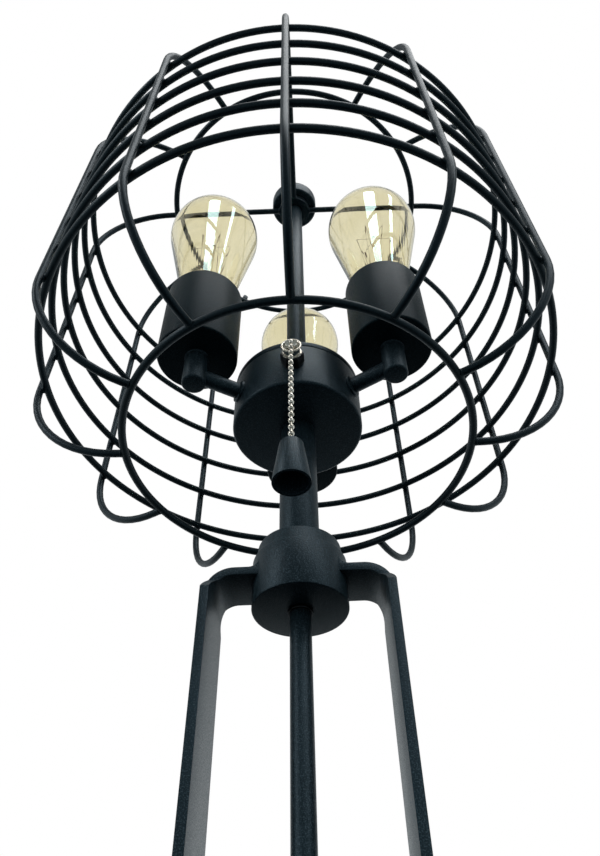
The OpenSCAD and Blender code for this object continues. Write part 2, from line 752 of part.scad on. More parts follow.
// Rib from the mouth ring up the side and in to radius inner_r
module rib(angle, inner_r) {
    top_z = spoke_z - rib_bend_r;
    foot_z = mouth_ring_z + rib_bend_r;
    foot_end = mouth_ring_r + wire_r - weld;
    color("#1b1c1e") rotate(angle) {
        translate([inner_r, 0, spoke_z]) rotate([0, 90, 0]) cylinder(r = wire_r, h = bend_x - inner_r);
        translate([bend_x, 0, top_z]) rib_bend();
        translate([rib_r, 0, foot_z]) cylinder(r = wire_r, h = top_z - foot_z);
        translate([bend_x, 0, foot_z]) mirror([0, 0, 1]) rib_bend();
        translate([foot_end, 0, mouth_ring_z]) rotate([0, 90, 0]) cylinder(r = wire_r, h = bend_x - foot_end);
    }
}

// Long ribs run in to the hub as spokes
module long_rib(angle) {
    rib(angle, hub_d / 2 - weld);
}

// The two short ribs between one long rib and the next, which end on the crown ring
module short_ribs(angle) {
    for (a = [30, 60]) rib(angle + a, crown_r - wire_r);
}

base_plate();
base_pad();
leg(-1);  // leg_left
leg(1);  // leg_right
foot_screws();
lower_rod();
rod_nut();
rod_ferrule();
leg_collar();
stem_tube();
cluster_body();
cluster_lid();
cluster_nuts();
switch_body();
switch_nut();
switch_mouth();
chain_head();
pull_chain();
pull_cone();
arm_rosettes();
arm(back_angle);  // arm_back
arm(left_angle);  // arm_left
arm(right_angle);  // arm_right
arm_knuckles();
cup(back_angle);  // cup_back
cup(left_angle);  // cup_left
cup(right_angle);  // cup_right
holder_insulators();
holder_contacts();
bulb_glass(back_angle);  // bulb_glass_back
bulb_glass(left_angle);  // bulb_glass_left
bulb_glass(right_angle);  // bulb_glass_right
bulb_cap(back_angle);  // bulb_cap_back
bulb_cap(left_angle);  // bulb_cap_left
bulb_cap(right_angle);  // bulb_cap_right
bulb_mount(back_angle);  // bulb_mount_back
bulb_mount(left_angle);  // bulb_mount_left
bulb_mount(right_angle);  // bulb_mount_right
bulb_foot(back_angle);  // bulb_foot_back
bulb_foot(left_angle);  // bulb_foot_left
bulb_foot(right_angle);  // bulb_foot_right
centre_tube();
hub_disc();
finial();
hoop(1);  // hoop_1
hoop(2);  // hoop_2
hoop(3);  // hoop_3
hoop(4);  // hoop_4
hoop(5);  // hoop_5
hoop(6);  // hoop_6
ring(crown_r, spoke_z - wire_d + weld);  // crown_ring
ring(mouth_ring_r, mouth_ring_z);  // mouth_ring
long_rib(front);  // long_rib_front
long_rib(right);  // long_rib_right
long_rib(back);  // long_rib_back
long_rib(left);  // long_rib_left
short_ribs(front);  // short_ribs_front_right
short_ribs(right);  // short_ribs_back_right
short_ribs(back);  // short_ribs_back_left
short_ribs(left);  // short_ribs_front_left
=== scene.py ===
import math
import bpy
from mathutils import Matrix, Vector


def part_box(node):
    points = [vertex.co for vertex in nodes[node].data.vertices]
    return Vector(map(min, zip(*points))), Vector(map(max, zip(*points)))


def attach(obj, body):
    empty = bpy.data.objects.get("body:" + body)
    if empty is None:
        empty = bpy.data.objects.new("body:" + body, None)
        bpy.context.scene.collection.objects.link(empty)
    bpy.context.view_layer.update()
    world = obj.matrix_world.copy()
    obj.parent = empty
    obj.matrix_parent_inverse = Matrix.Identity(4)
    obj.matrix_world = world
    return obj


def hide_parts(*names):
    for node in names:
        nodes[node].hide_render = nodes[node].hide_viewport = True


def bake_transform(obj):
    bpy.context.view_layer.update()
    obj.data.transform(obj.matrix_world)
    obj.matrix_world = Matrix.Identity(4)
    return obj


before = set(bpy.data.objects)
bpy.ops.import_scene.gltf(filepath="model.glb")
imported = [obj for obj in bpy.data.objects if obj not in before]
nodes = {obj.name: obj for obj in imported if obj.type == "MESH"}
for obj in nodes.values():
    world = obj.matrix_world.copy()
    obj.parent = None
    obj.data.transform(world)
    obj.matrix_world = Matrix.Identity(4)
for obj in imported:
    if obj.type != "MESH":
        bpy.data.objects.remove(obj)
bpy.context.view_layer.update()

# The cage table lamp, dressed for its portrait from below. Objects, the camera and the stage are in
# metres; the sizes in the pieces' dictionaries and in the outlines are in millimetres.
bpy.ops.object.select_all(action="DESELECT")


def mm(value):
    return value * 0.001


def inMm(value):
    return value * 1000


# Places and radii read from the frame
def span(node, side):
    low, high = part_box(node)
    return high[side] - low[side]


def bottom(node):
    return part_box(node)[0].z


def top(node):
    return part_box(node)[1].z


def radius(node):
    return span(node, 0) / 2


wireRadius = span("hoop_1", 2) / 2
holders = {"back": 90, "left": 210, "right": 330}
armReach = (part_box("cup_back")[0].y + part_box("cup_back")[1].y) / 2
armHeight = (bottom("arm_back") + top("arm_back")) / 2
switchHeight = (bottom("switch_mouth") + top("switch_mouth")) / 2
chainPlace = (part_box("pull_chain")[0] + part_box("pull_chain")[1]) / 2
chainPlace.z = switchHeight
switchTurn = 270 + math.degrees(math.atan2(chainPlace.x, -chainPlace.y))


def holderPlace(side):
    angle = math.radians(holders[side])
    return Vector((armReach * math.cos(angle), armReach * math.sin(angle), 0))


# Camera, fitted to the hoops and the rod of the photograph
view = {
    "place": (0.01235, -0.29377, 0.04975),
    "pitch": 47.31,          # degrees above level
    "turn": 2.14,            # degrees to the left of straight ahead
    "roll": 1.08,            # degrees that the camera leans to the right
    "lens": 743.8,           # pixels, in an image 856 high
    "image": (600, 856),
}


def makeCamera():
    bpy.ops.object.camera_add(location=view["place"])
    camera = bpy.context.object
    camera.name = "portraitCamera"
    camera.data.sensor_fit = "VERTICAL"
    camera.data.sensor_height = 24.0
    camera.data.lens = 24.0 * view["lens"] / view["image"][1]
    camera.data.clip_start = 0.005
    camera.data.clip_end = 60
    aim = Matrix.Rotation(math.radians(view["turn"]), 4, "Z")
    lift = Matrix.Rotation(math.radians(90 + view["pitch"]), 4, "X")
    lean = Matrix.Rotation(-math.radians(view["roll"]), 4, "Z")
    camera.matrix_world = Matrix.Translation(view["place"]) @ aim @ lift @ lean
    bpy.context.scene.camera = camera


makeCamera()


# Materials
def hexColor(text):
    # sRGB hex to the linear colour that a shader takes
    parts = [int(text[i:i + 2], 16) / 255 for i in (0, 2, 4)]
    return [p / 12.92 if p <= 0.04045 else ((p + 0.055) / 1.055) ** 2.4 for p in parts] + [1.0]


def addNode(tree, kind, links=None, stops=(), **settings):
    # settings that name an input are set on it, the others on the node; links feed inputs, and stops are
    # the two places and shades of a ramp
    node = tree.nodes.new("ShaderNode" + kind)
    for key, value in settings.items():
        if hasattr(node, key):
            setattr(node, key, value)
        else:
            node.inputs[key.replace("_", " ")].default_value = value
    for key, source in (links or {}).items():
        tree.links.new(source, node.inputs[key])
    for index, (at, shade) in enumerate(stops):
        element = node.color_ramp.elements[index]
        element.position = at
        element.color = hexColor(shade) if isinstance(shade, str) else (shade, shade, shade, 1)
    return node


def newMaterial(name):
    material = bpy.data.materials.new(name)
    material.use_nodes = True
    tree = material.node_tree
    tree.nodes.clear()
    return material, tree, addNode(tree, "TexCoord").outputs["Object"]


def finishMaterial(material, tree, shader):
    addNode(tree, "OutputMaterial", {"Surface": shader})
    return material


def lumps(size):
    # the scale of a noise whose lumps are about this many millimetres across
    return 1 / mm(size)


def powderCoat(name, dark, light, fleckAndSparkle, rough=(0.3, 0.52), grain=0.55, bump=1.1, gloss=0.25):
    # polyester powder coat on steel: a satin black with a blue cast, and a fine orange-peel grain whose
    # crests sparkle a little in a highlight; they are also painted a lighter fleck colour, partly the
    # grain's own tone and partly a painted sparkle; the real grain is about 0.3 mm, drawn coarser so
    # that it shows
    material, tree, where = newMaterial(name)
    fine = addNode(tree, "TexNoise", {"Vector": where}, Scale=lumps(grain), Detail=3.0)
    broad = addNode(tree, "TexNoise", {"Vector": where}, Scale=lumps(60), Detail=2.0)
    tone = addNode(tree, "ValToRGB", {"Fac": broad.outputs["Fac"]}, [(0.35, dark), (0.65, light)])
    crest = addNode(tree, "ValToRGB", {"Fac": fine.outputs["Fac"]}, [(0.5, 0.0), (0.66, 1.0)])
    # a lighter fleck colour on the grain's crests: partly the grain's own tone, partly a painted sparkle
    fleckedAndSparkled = addNode(tree, "MixRGB", {"Fac": crest.outputs["Color"], "Color1": tone.outputs["Color"]},
                      Color2=hexColor(fleckAndSparkle))
    speck = addNode(tree, "ValToRGB", {"Fac": fine.outputs["Fac"]}, [(0.42, rough[0]), (0.62, rough[1])])
    bumpNode = addNode(tree, "Bump", {"Height": fine.outputs["Fac"]}, Strength=bump, Distance=mm(0.12))
    shader = addNode(tree, "BsdfPrincipled", {
        "Base Color": fleckedAndSparkled.outputs["Color"], "Roughness": speck.outputs["Color"],
        "Normal": bumpNode.outputs["Normal"]})
    shader.inputs["Specular IOR Level"].default_value = gloss
    shader.inputs["Specular Tint"].default_value = hexColor("c4eaff")
    return finishMaterial(material, tree, shader.outputs["BSDF"])


def metal(name, color, rough, grain, bump, tarnish):
    # bare or plated metal: clean reflections broken by faint smears
    material, tree, where = newMaterial(name)
    smear = addNode(tree, "TexNoise", {"Vector": where}, Scale=lumps(grain), Detail=4.0)
    tone = addNode(tree, "ValToRGB", {"Fac": smear.outputs["Fac"]}, [(0.3, tarnish), (0.6, color)])
    rub = addNode(tree, "ValToRGB", {"Fac": smear.outputs["Fac"]}, [(0.3, rough[1]), (0.7, rough[0])])
    bumpNode = addNode(tree, "Bump", {"Height": smear.outputs["Fac"]}, Strength=bump, Distance=mm(0.1))
    shader = addNode(tree, "BsdfPrincipled", {
        "Base Color": tone.outputs["Color"], "Roughness": rub.outputs["Color"],
        "Normal": bumpNode.outputs["Normal"]}, Metallic=1.0)
    return finishMaterial(material, tree, shader.outputs["BSDF"])


def moulded(name, dark, light, rough=(0.3, 0.45), grain=1.5, bump=0.1):
    # phenolic, vitrite or glazed porcelain: smooth, with a slow change of tone
    material, tree, where = newMaterial(name)
    fine = addNode(tree, "TexNoise", {"Vector": where}, Scale=lumps(grain), Detail=3.0)
    tone = addNode(tree, "ValToRGB", {"Fac": fine.outputs["Fac"]}, [(0.3, dark), (0.7, light)])
    sheen = addNode(tree, "ValToRGB", {"Fac": fine.outputs["Fac"]}, [(0.3, rough[0]), (0.7, rough[1])])
    bumpNode = addNode(tree, "Bump", {"Height": fine.outputs["Fac"]}, Strength=bump, Distance=mm(0.1))
    shader = addNode(tree, "BsdfPrincipled", {
        "Base Color": tone.outputs["Color"], "Roughness": sheen.outputs["Color"],
        "Normal": bumpNode.outputs["Normal"]})
    return finishMaterial(material, tree, shader.outputs["BSDF"])


def blownGlass(name, thin, thick):
    # soda-lime or lead glass: clear, with a faint tint that drifts a little where the glass was drawn
    material, tree, where = newMaterial(name)
    streak = addNode(tree, "TexNoise", {"Vector": where}, Scale=lumps(25), Detail=1.0)
    tone = addNode(tree, "ValToRGB", {"Fac": streak.outputs["Fac"]}, [(0.3, thin), (0.7, thick)])
    shader = addNode(tree, "BsdfPrincipled", {"Base Color": tone.outputs["Color"]}, Roughness=0.0, IOR=1.5)
    shader.inputs["Transmission Weight"].default_value = 1.0
    return finishMaterial(material, tree, shader.outputs["BSDF"])


def pressedFelt(name, dark, light):
    # wool felt: matt, matted fibres about 0.5 mm long
    material, tree, where = newMaterial(name)
    fibre = addNode(tree, "TexNoise", {"Vector": where}, Scale=lumps(0.6), Detail=5.0)
    tone = addNode(tree, "ValToRGB", {"Fac": fibre.outputs["Fac"]}, [(0.3, dark), (0.7, light)])
    bumpNode = addNode(tree, "Bump", {"Height": fibre.outputs["Fac"]}, Strength=0.8, Distance=mm(0.4))
    shader = addNode(tree, "BsdfPrincipled", {
        "Base Color": tone.outputs["Color"], "Normal": bumpNode.outputs["Normal"]}, Roughness=0.95)
    shader.inputs["Sheen Weight"].default_value = 0.4
    return finishMaterial(material, tree, shader.outputs["BSDF"])


# The same coat four times: on the body and stand; on the cups, painted darker as a painted shade for
# the less light inside the cage; on the smoother cone; and on the wires, where it lies thin
blackCoat = powderCoat("blackPowderCoat", "0e181d", "142228", "36454d")
cupCoatPaintedShade = powderCoat("blackCupCoat", "091418", "0c1a1f", "223137", gloss=0.08)
coneCoat = powderCoat("blackConeCoat", "0e181d", "142228", "36464e", rough=(0.28, 0.5), gloss=0.32)
wireCoat = powderCoat("blackWireCoat", "081116", "0b171b", "1c292f", rough=(0.36, 0.52), bump=0.25)
# Blackened steel keeps a dull shine and nickel plate a bright, slightly warm one; zinc plate is pale and
# satin, and brass is browner where it has tarnished
darkSteel = metal("blackenedSteel", "2b2e31", (0.3, 0.45), 1.2, 0.08, "1c1e20")
nickel = metal("nickelPlate", "dcd8cf", (0.08, 0.18), 3.0, 0.03, "b0aa9c")
zinc = metal("zincPlate", "a9adb0", (0.3, 0.42), 2.0, 0.08, "8e9296")
brass = metal("drawnBrass", "c9a45c", (0.22, 0.36), 3.0, 0.05, "9a7a3e")
# Phenolic is black and satin; vitrite, the cap's glass foot, and glazed porcelain are shiny
phenolic = moulded("mouldedPhenolic", "0d0e0f", "161718")
vitrite = moulded("vitriteGlass", "1a120c", "2a1c12", (0.12, 0.2))
porcelain = moulded("glazedPorcelain", "d8d2c4", "e6e1d5", (0.12, 0.2), 4.0, 0.04)
felt = pressedFelt("blackFelt", "17181a", "26282b")
amberGlass = blownGlass("amberSodaGlass", "f2eeda", "ede8d0")
clearGlass = blownGlass("clearLeadGlass", "f4f2ea", "eeece0")
carbon = metal("carbonStrand", "6a5238", (0.4, 0.6), 1.0, 0.1, "4a3826")     # unlit strands, dull and brown

for name, node in nodes.items():
    node.data.materials.clear()
    node.data.materials.append(blackCoat)
for name, material in {
        "base_pad": felt, "rod_nut": zinc, "cluster_nuts": zinc, "foot_screws": darkSteel,
        "rod_ferrule": darkSteel, "switch_nut": darkSteel, "switch_body": phenolic, "switch_mouth": nickel,
        "chain_head": nickel, "pull_chain": nickel, "holder_insulators": porcelain,
        "holder_contacts": brass}.items():
    nodes[name].data.materials[0] = material
for side in holders:
    nodes["bulb_glass_" + side].data.materials[0] = amberGlass
    nodes["bulb_cap_" + side].data.materials[0] = brass
    nodes["bulb_mount_" + side].data.materials[0] = clearGlass
    nodes["bulb_foot_" + side].data.materials[0] = vitrite


# Modelling: one point is drawn out into an outline, which is spun or extruded
def startPoint(name, place):
    bpy.ops.object.select_all(action="DESELECT")
    bpy.ops.mesh.primitive_plane_add(size=mm(1))
    piece = bpy.context.object
    piece.name = name
    piece.data.name = name
    bpy.ops.object.mode_set(mode="EDIT")
    bpy.ops.mesh.merge(type="CENTER")
    bpy.ops.transform.translate(value=place)
    return piece


def drawOutline(points):
    for here, there in zip(points, points[1:]):
        bpy.ops.mesh.extrude_region_move(TRANSFORM_OT_translate={"value": there - here})
    bpy.ops.mesh.select_all(action="SELECT")


def closeUp(gap=0.002):
    bpy.ops.mesh.select_all(action="SELECT")
    bpy.ops.mesh.remove_doubles(threshold=mm(gap))
    bpy.ops.mesh.normals_make_consistent(inside=False)
    bpy.ops.object.mode_set(mode="OBJECT")


def selectOnly(*pieces):
    bpy.ops.object.select_all(action="DESELECT")
    for piece in pieces:
        piece.select_set(True)
    bpy.context.view_layer.objects.active = pieces[0]


def soften(piece, edge, angle=32):
    # worn-in edges: a small bevel on every crease, and smooth shading across it
    bpy.context.view_layer.objects.active = piece
    if edge:
        bevel = piece.modifiers.new("edge", "BEVEL")
        bevel.width = mm(edge)
        bevel.segments = 2
        bevel.limit_method = "ANGLE"
        bevel.angle_limit = math.radians(angle)
        bevel.harden_normals = False
        bpy.ops.object.modifier_apply(modifier="edge")
    bpy.ops.object.shade_smooth_by_angle(angle=math.radians(angle))


def put(piece, place=(0, 0, 0), tilt=0, turn=0):
    # tilt leans the piece's own +Z over towards +X, turn then swings it round the lamp
    selectOnly(piece)
    swing = Matrix.Rotation(math.radians(turn), 4, "Z") @ Matrix.Rotation(math.radians(tilt), 4, "Y")
    piece.matrix_world = Matrix.Translation(place) @ swing @ piece.matrix_world
    bpy.ops.object.transform_apply(location=True, rotation=True, scale=True)
    return piece


def coated(piece, material, body, *stands):
    piece.data.materials.clear()
    piece.data.materials.append(material)
    if body:
        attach(piece, body)
    if stands:
        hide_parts(*stands)
    return piece


def twin(piece, name):
    selectOnly(piece)
    bpy.ops.object.duplicate(linked=False)
    other = bpy.context.object
    other.name = name
    other.data.name = name
    return other


def drop(*pieces):
    # the piece that a kind's copies were made from goes once they are placed
    for piece in pieces:
        bpy.data.objects.remove(piece)


def joined(pieces, name):
    selectOnly(*pieces)
    bpy.ops.object.join()
    whole = bpy.context.object
    whole.name = name
    whole.data.name = name
    return whole


def bend(center, size, start, end, count=8):
    # points of an arc, in millimetres and degrees
    step = (end - start) / count
    angles = [math.radians(start + step * i) for i in range(count + 1)]
    return [(center[0] + size * math.cos(a), center[1] + size * math.sin(a)) for a in angles]


def turned(name, outline, edge=0.25, steps=72):
    # outline: radius and height in millimetres, spun round Z
    points = [Vector((mm(r), 0, mm(z))) for r, z in outline]
    piece = startPoint(name, points[0])
    drawOutline(points)
    bpy.ops.mesh.spin(steps=steps, angle=math.tau, center=(0, 0, 0), axis=(0, 0, 1))
    closeUp()
    soften(piece, edge)
    return piece


def barred(name, outline, width, edge=0.5):
    # outline in X and Z, in millimetres, filled and drawn out along Y
    points = [Vector((mm(x), -mm(width) / 2, mm(z))) for x, z in outline]
    piece = startPoint(name, points[0])
    drawOutline(points)
    bpy.ops.mesh.edge_face_add()
    bpy.ops.mesh.extrude_region_move(TRANSFORM_OT_translate={"value": (0, mm(width), 0)})
    closeUp()
    soften(piece, edge)
    return piece


# The cage's wires
cage = {
    "bend": 57.5,            # radius of both bends of a rib
    "turn": 1,               # degrees that the cage stands turned against the stand
    "roundSteps": 16,        # facets round a wire
    "ringSteps": 180, "bendSteps": 14,
    "sink": 0.1,             # depth that each wire is welded into the next
}
hoopNames = ["hoop_%d" % i for i in range(1, 7)]
hoopHeights = [bottom(name) + wireRadius for name in hoopNames]
hoopRadius = radius("hoop_1") - wireRadius
crownRadius = radius("crown_ring") - wireRadius
mouthRadius = radius("mouth_ring") - wireRadius
ribRadius = hoopRadius + 2 * wireRadius - mm(cage["sink"])
spokeHeight = top("long_rib_right") - wireRadius
mouthHeight = bottom("long_rib_right") + wireRadius


def wireRing(name, ringRadius, height, node):
    bpy.ops.object.select_all(action="DESELECT")
    bpy.ops.mesh.primitive_torus_add(major_radius=ringRadius, minor_radius=wireRadius,
                                     major_segments=cage["ringSteps"],
                                     minor_segments=cage["roundSteps"], location=(0, 0, height))
    ring = bpy.context.object
    ring.name = name
    bpy.ops.object.transform_apply(location=True)
    bpy.ops.object.shade_smooth()
    return coated(ring, wireCoat, "lamp", node)


def wireRib(name, inner):
    # a round section drawn in from the spoke's end, round the upper bend, down, and round the lower bend
    bendSize = mm(cage["bend"])
    bendPlace = ribRadius - bendSize
    upper = spokeHeight - bendSize
    lower = mouthHeight + bendSize
    foot = mouthRadius + wireRadius - mm(cage["sink"])
    bpy.ops.object.select_all(action="DESELECT")
    bpy.ops.mesh.primitive_circle_add(vertices=cage["roundSteps"], radius=wireRadius, fill_type="NGON",
                                      location=(inner, 0, spokeHeight), rotation=(0, math.pi / 2, 0))
    rib = bpy.context.object
    rib.name = name
    bpy.ops.object.transform_apply(location=True, rotation=True)
    bpy.ops.object.mode_set(mode="EDIT")
    bpy.ops.mesh.select_all(action="SELECT")
    bpy.ops.mesh.extrude_region_move(TRANSFORM_OT_translate={"value": (bendPlace - inner, 0, 0)})
    bpy.ops.mesh.spin(steps=cage["bendSteps"], angle=-math.pi / 2, center=(bendPlace, 0, upper),
                      axis=(0, 1, 0))
    bpy.ops.mesh.extrude_region_move(TRANSFORM_OT_translate={"value": (0, 0, lower - upper)})
    bpy.ops.mesh.spin(steps=cage["bendSteps"], angle=-math.pi / 2, center=(bendPlace, 0, lower),
                      axis=(0, 1, 0))
    bpy.ops.mesh.extrude_region_move(TRANSFORM_OT_translate={"value": (foot - bendPlace, 0, 0)})
    closeUp()
    bpy.ops.object.shade_smooth_by_angle(angle=math.radians(40))
    return rib


def makeCage():
    for name, height in zip(hoopNames, hoopHeights):
        wireRing("hoopWire" + name[-1], hoopRadius, height, name)
    wireRing("crownWire", crownRadius, bottom("crown_ring") + wireRadius, "crown_ring")
    wireRing("mouthWire", mouthRadius, bottom("mouth_ring") + wireRadius, "mouth_ring")
    longRib = wireRib("longRib", radius("hub_disc") - mm(cage["sink"]))
    for turn, side in ((270, "front"), (0, "right"), (90, "back"), (180, "left")):
        rib = put(twin(longRib, "longRib" + side.title()), turn=turn + cage["turn"])
        coated(rib, wireCoat, "lamp", "long_rib_" + side)
    shortRib = wireRib("shortRib", crownRadius - wireRadius)
    quarters = {270: "front_right", 0: "back_right", 90: "back_left", 180: "front_left"}
    for turn, corner in quarters.items():
        pair = [put(twin(shortRib, "rib"), turn=turn + more + cage["turn"]) for more in (30, 60)]
        title = "shortRibs" + corner.title().replace("_", "")
        coated(joined(pair, title), wireCoat, "lamp", "short_ribs_" + corner)
    drop(longRib, shortRib)


# Small resistance welds where the wires cross, under the powder coat
welds = {
    "along": 2.5, "deep": 1.2,        # half sizes of a bead at a crossing
    "collar": 0.7,                    # thickness of the bead round a spoke's end
}


def weldBead(half):
    bpy.ops.object.select_all(action="DESELECT")
    bpy.ops.mesh.primitive_ico_sphere_add(subdivisions=2, radius=1, scale=[mm(h) for h in half])
    return put(bpy.context.object)


def spokeBead():
    bpy.ops.object.select_all(action="DESELECT")
    bpy.ops.mesh.primitive_torus_add(major_radius=wireRadius, minor_radius=mm(welds["collar"]),
                                     major_segments=20, minor_segments=8)
    return put(bpy.context.object, (radius("hub_disc"), 0, 0), tilt=90)


def makeWelds():
    along, deep = welds["along"], welds["deep"]
    sideBead = weldBead((deep, along, along))
    crownBead = weldBead((along, along, deep))
    endBead = spokeBead()
    sideRadius = hoopRadius + wireRadius
    beads = []
    for rib in range(12):
        turn = 30 * rib + cage["turn"]
        out = Vector((math.cos(math.radians(turn)), math.sin(math.radians(turn)), 0))
        spots = [(sideBead, sideRadius, height) for height in hoopHeights]
        spots += [(crownBead, crownRadius, spokeHeight - wireRadius),
                  (sideBead, mouthRadius + wireRadius, mouthHeight)]
        for bead, reach, height in spots:
            beads.append(put(twin(bead, "bead"), out * reach + Vector((0, 0, height)), turn=turn))
    hubHeight = (bottom("hub_disc") + top("hub_disc")) / 2
    for turn in (0, 90, 180, 270):
        beads.append(put(twin(endBead, "bead"), (0, 0, hubHeight), turn=turn + cage["turn"]))
    drop(sideBead, crownBead, endBead)
    whole = joined(beads, "cageWelds")
    bpy.ops.object.shade_smooth()
    coated(whole, wireCoat, "lamp")


makeCage()
makeWelds()


# Hub, finial and centre tube
hub = {
    "bore": 6.4,             # radius of the hole for the tube's neck
    "finialEdge": 1.6, "dish": 0.6,
}


def makeHub():
    low = inMm(bottom("hub_disc"))
    high = inMm(top("hub_disc"))
    disc = inMm(radius("hub_disc"))
    bore = hub["bore"]
    coated(turned("hubDisc", [(bore, low), (disc, low), (disc, high), (bore, high), (bore, low)], 0.35),
           blackCoat, "lamp", "hub_disc")
    size = inMm(radius("finial"))
    edge = hub["finialEdge"]
    crest = inMm(top("finial"))
    outline = [(0, high), (size - 1, high), (size, high + 1)]
    outline += bend((size - edge, crest - edge), edge, 0, 90, 5)
    outline += [(size * 0.55, crest - hub["dish"] * 0.3), (0, crest - hub["dish"])]
    coated(turned("finialCap", outline, 0.3, 96), blackCoat, "lamp", "finial")
    tube = inMm(radius("centre_tube"))
    foot = inMm(top("cluster_lid"))
    outline = [(0, foot - 1), (tube, foot - 1), (tube, low + 0.2), (0, low + 0.2)]
    coated(turned("centreTube", outline, 0.2, 48), blackCoat, "lamp", "centre_tube")


makeHub()


# Cluster body, lid and the tube joints
cluster = {
    "edge": 1.8, "lidEdge": 0.5, "wall": 1.4,
    "groove": 0.7, "grooveHigh": 0.5,     # depth and height of the dark joint under the lid
    "inside": 6,                          # how far the wall and the lid run on out of sight
}


def makeCluster():
    size = inMm(radius("cluster_body"))
    low = inMm(bottom("cluster_body"))
    high = inMm(top("cluster_body"))
    edge = cluster["edge"]
    stem = inMm(radius("stem_tube"))
    outline = [(stem - 2, low + 0.05), (stem + 0.6, low)]
    outline += bend((size - edge, low + edge), edge, 270, 360, 6)
    thin = size - cluster["wall"]
    outline += [(size, high), (thin, high), (thin, high - cluster["inside"])]
    coated(turned("clusterBody", outline, 0.15, 96), blackCoat, "lamp", "cluster_body")
    crest = inMm(top("cluster_lid"))
    inner = size - cluster["groove"]
    tube = inMm(radius("centre_tube"))
    lidLow = high + cluster["grooveHigh"]
    outline = [(inner - cluster["inside"], high - 1.5), (inner, high - 1.5), (inner, lidLow),
               (size, lidLow), (size, crest), (tube + 0.4, crest), (tube - 1, crest - 0.2)]
    coated(turned("clusterLid", outline, cluster["lidEdge"], 96), blackCoat, "lamp", "cluster_lid")


makeCluster()


# Arms, rosettes, knuckles and cups
holder = {
    "armSteps": 32,                                      # facets round an arm
    "rosette": 13, "rosetteThick": 1.6, "knuckle": 13.6,
    "cupWall": 1.5, "cupEdge": 1.4, "cupLip": 0.55,      # the roundings at the cup's foot and rim
}


def makeHolders():
    armSize = inMm(span("arm_back", 0)) / 2
    start = inMm(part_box("arm_back")[0].y)
    wall = inMm(radius("cluster_body"))
    reach = inMm(armReach) - 2
    knuckleSize = holder["knuckle"] / 2
    knuckleLow = inMm(bottom("arm_knuckles"))
    cupLow = inMm(bottom("cup_back"))
    cupHigh = inMm(top("cup_back"))
    cupSize = inMm(span("cup_back", 0)) / 2
    lip, edge, thick = holder["cupLip"], holder["cupEdge"], holder["cupWall"]
    arm = turned("arm", [(0, start), (armSize, start), (armSize, reach), (0, reach)],
                 0.1, holder["armSteps"])
    outline = [(0, cupLow)] + bend((cupSize - edge, cupLow + edge), edge, 270, 360, 5)
    outline += [(cupSize, cupHigh - lip)]
    outline += bend((cupSize - lip, cupHigh - lip), lip, 30, 150, 4)
    inner = cupSize - thick
    outline += [(inner, cupHigh - 2 * lip), (inner, cupLow + thick), (0, cupLow + thick)]
    cup = turned("cup", outline, 0.12, 96)
    outline = [(0, knuckleLow), (knuckleSize - 0.8, knuckleLow), (knuckleSize, knuckleLow + 0.8),
               (knuckleSize, cupLow - 0.8), (knuckleSize + 0.7, cupLow + 0.05), (0, cupLow + 0.05)]
    knuckle = turned("knuckle", outline, 0.25, 40)
    flange = holder["rosette"] / 2
    outer = wall + holder["rosetteThick"]
    outline = [(armSize - 0.2, wall - 1), (flange, wall - 1), (flange, outer - 0.5),
               (flange - 1.6, outer), (armSize - 0.2, outer), (armSize - 0.2, wall - 1)]
    rosette = turned("rosette", outline, 0.2, 40)
    onBody = (0, 0, armHeight)
    for side, angle in holders.items():
        title = side.title()
        coated(put(twin(arm, "arm" + title), onBody, 90, angle), blackCoat, "lamp", "arm_" + side)
        coated(put(twin(cup, "cup" + title), holderPlace(side)), cupCoatPaintedShade, "lamp", "cup_" + side)
    knuckles = [put(twin(knuckle, "knuckle"), holderPlace(side)) for side in holders]
    rosettes = [put(twin(rosette, "rosette"), onBody, 90, angle) for angle in holders.values()]
    drop(arm, cup, knuckle, rosette)
    coated(joined(knuckles, "armKnuckles"), blackCoat, "lamp", "arm_knuckles")
    coated(joined(rosettes, "armRosettes"), blackCoat, "lamp", "arm_rosettes")


makeHolders()


# Bulbs: blown glass, a rolled brass cap, and the stem with its hooks and strands
bulb = {
    "neck": 14.5, "shoulder": 3, "seat": 5, "root": 12.55, "wall": 0.8,    # the glass, seated in the cap
    "thread": 3.629, "threadDeep": 0.75, "threadTurns": 4,
    "foot": 10, "tuck": 2.6,                                  # radius and height of the cap's tucked foot
    "lowHooks": 28, "strandLong": 48, "strands": 6,           # the low hooks stand so far over the cap
    "lowRing": 6, "topRing": 12,                              # radii of the two rings of hooks
    "rod": 1.7, "strandSize": 0.13, "hookSize": 0.1,          # radii
}


def glassLine(inset, capTop, crest, globe):
    center = crest - globe
    neck, shoulder = bulb["neck"], capTop + bulb["shoulder"]
    far = math.hypot(neck, center - shoulder)
    flare = math.degrees(math.asin(globe / far) - math.atan2(neck, center - shoulder))
    root = bulb["root"] - inset
    line = [(root, capTop - bulb["seat"]), (root, capTop - 0.5), (bulb["root"] + 0.7 - inset, capTop + 0.7),
            (neck - 0.5 - inset, shoulder - 0.6), (neck - inset, shoulder + 0.8)]
    return line + bend((0, center), globe - inset, -flare, 90, 36)


